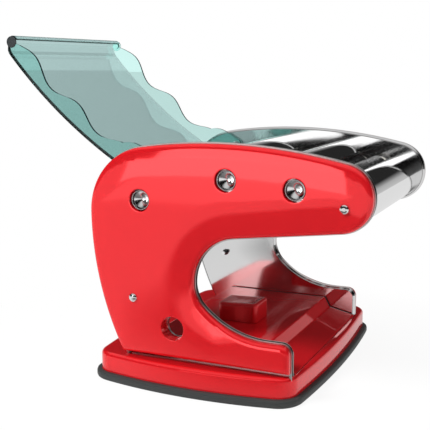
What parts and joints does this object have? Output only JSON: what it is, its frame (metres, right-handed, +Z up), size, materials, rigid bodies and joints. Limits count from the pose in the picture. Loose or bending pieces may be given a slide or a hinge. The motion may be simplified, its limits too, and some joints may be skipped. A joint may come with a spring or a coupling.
{
  "type": "manual pasta machine",
  "caption": "Hand-cranked pasta machine: red side covers on steel plates, bright hood over rollers and cutters, clear feed tray and suction base.",
  "frame": {"origin": "on the table, midway between the side plates and near the middle of the base", "axes": "+X towards the open front, -Y the crank side, +Z up"},
  "size_m": [0.301, 0.2352, 0.2654],
  "materials": {
    "red_plastic": "gloss",
    "dark_rubber": "matt",
    "steel_plate": "polished",
    "bright_sheet": "mirror",
    "cutter_steel": "satin",
    "plain_steel": "satin",
    "pale_nylon": "matt",
    "dark_plastic": "satin",
    "clear_teal": "gloss"
  },
  "bodies": {
    "frame": {"base": "red_plastic", "skirt": "dark_rubber", "plate_near": "steel_plate", "plate_far": "steel_plate", "cover_near": "red_plastic", "cover_far": "red_plastic", "socket_tubes": "bright_sheet", "cover_screws": "bright_sheet", "screw_nuts": "dark_plastic", "tie_rods": "bright_sheet", "rod_screws": "plain_steel", "hood_rear": "bright_sheet", "hood_middle": "bright_sheet", "hood_front": "bright_sheet", "bushes_near": "pale_nylon", "bushes_far": "pale_nylon", "wide_rear_comb": "plain_steel", "wide_front_comb": "plain_steel", "fine_rear_comb": "plain_steel", "fine_front_comb": "plain_steel", "scraper_front": "plain_steel", "tray_pins": "plain_steel"},
    "smooth_drive": {"smooth_front": "bright_sheet", "smooth_front_gear": "plain_steel", "smooth_dog": "plain_steel"},
    "wide_drive": {"wide_rear": "cutter_steel", "wide_rear_gear": "plain_steel", "wide_dog": "plain_steel"},
    "fine_drive": {"fine_rear": "cutter_steel", "fine_rear_gear": "plain_steel", "fine_dog": "plain_steel"},
    "wide_follow": {"wide_front": "cutter_steel", "wide_front_gear": "plain_steel"},
    "fine_follow": {"fine_front": "cutter_steel", "fine_front_gear": "plain_steel"},
    "knob": {"gap_cam": "plain_steel", "gap_knob": "dark_plastic"},
    "yoke": {"gap_yoke": "plain_steel"},
    "smooth_follow": {"smooth_rear": "bright_sheet", "smooth_rear_gear": "plain_steel"},
    "tray": {"tray": "clear_teal", "tray_caps": "dark_plastic"},
    "grip": {"grip": "red_plastic", "stem": "plain_steel"},
    "pad": {"suction_pad": "dark_rubber"}
  },
  "joints": [
    {"name": "smooth_spin", "type": "hinge", "parent": "frame", "child": "smooth_drive", "pos_m": [-0.042, 0, 0.1435], "axis": [0, 1, 0], "continuous": true},
    {"name": "wide_spin", "type": "hinge", "parent": "frame", "child": "wide_drive", "pos_m": [0.0273, 0, 0.1618], "axis": [0, 1, 0], "continuous": true},
    {"name": "fine_spin", "type": "hinge", "parent": "frame", "child": "fine_drive", "pos_m": [0.0786, 0, 0.1578], "axis": [0, 1, 0], "continuous": true},
    {"name": "wide_follow_spin", "type": "hinge", "parent": "frame", "child": "wide_follow", "pos_m": [0.0449, 0, 0.1618], "axis": [0, 1, 0], "continuous": true},
    {"name": "fine_follow_spin", "type": "hinge", "parent": "frame", "child": "fine_follow", "pos_m": [0.0951, 0, 0.1578], "axis": [0, 1, 0], "continuous": true},
    {"name": "knob_turn", "type": "hinge", "parent": "frame", "child": "knob", "pos_m": [-0.0536, 0, 0.114], "axis": [0, -1, 0], "range_deg": [0, 300]},
    {"name": "yoke_slide", "type": "slide", "parent": "frame", "child": "yoke", "axis": [-1, 0, 0], "range_m": [0, 0.002]},
    {"name": "smooth_follow_spin", "type": "hinge", "parent": "yoke", "child": "smooth_follow", "pos_m": [-0.0646, 0, 0.1435], "axis": [0, 1, 0], "continuous": true},
    {"name": "tray_hinge", "type": "hinge", "parent": "frame", "child": "tray", "pos_m": [-0.0374, 0, 0.171], "axis": [0, 1, 0], "range_deg": [0, 35]},
    {"name": "grip_turn", "type": "hinge", "parent": "frame", "child": "grip", "pos_m": [0.0068, -0.0085, 0.04], "axis": [0, 0, 1], "range_deg": [0, 90]},
    {"name": "pad_lift", "type": "slide", "parent": "frame", "child": "pad", "axis": [0, 0, 1], "range_m": [0, 0.003]}
  ],
  "couplings": [
    {"joint": "wide_follow_spin", "follows": "wide_spin", "ratio": -1},
    {"joint": "fine_follow_spin", "follows": "fine_spin", "ratio": -1},
    {"joint": "smooth_follow_spin", "follows": "smooth_spin", "ratio": -1},
    {"joint": "knob_turn", "follows": "yoke_slide", "rad_per_m": 2618},
    {"joint": "grip_turn", "follows": "pad_lift", "rad_per_m": 523.59}
  ]
}
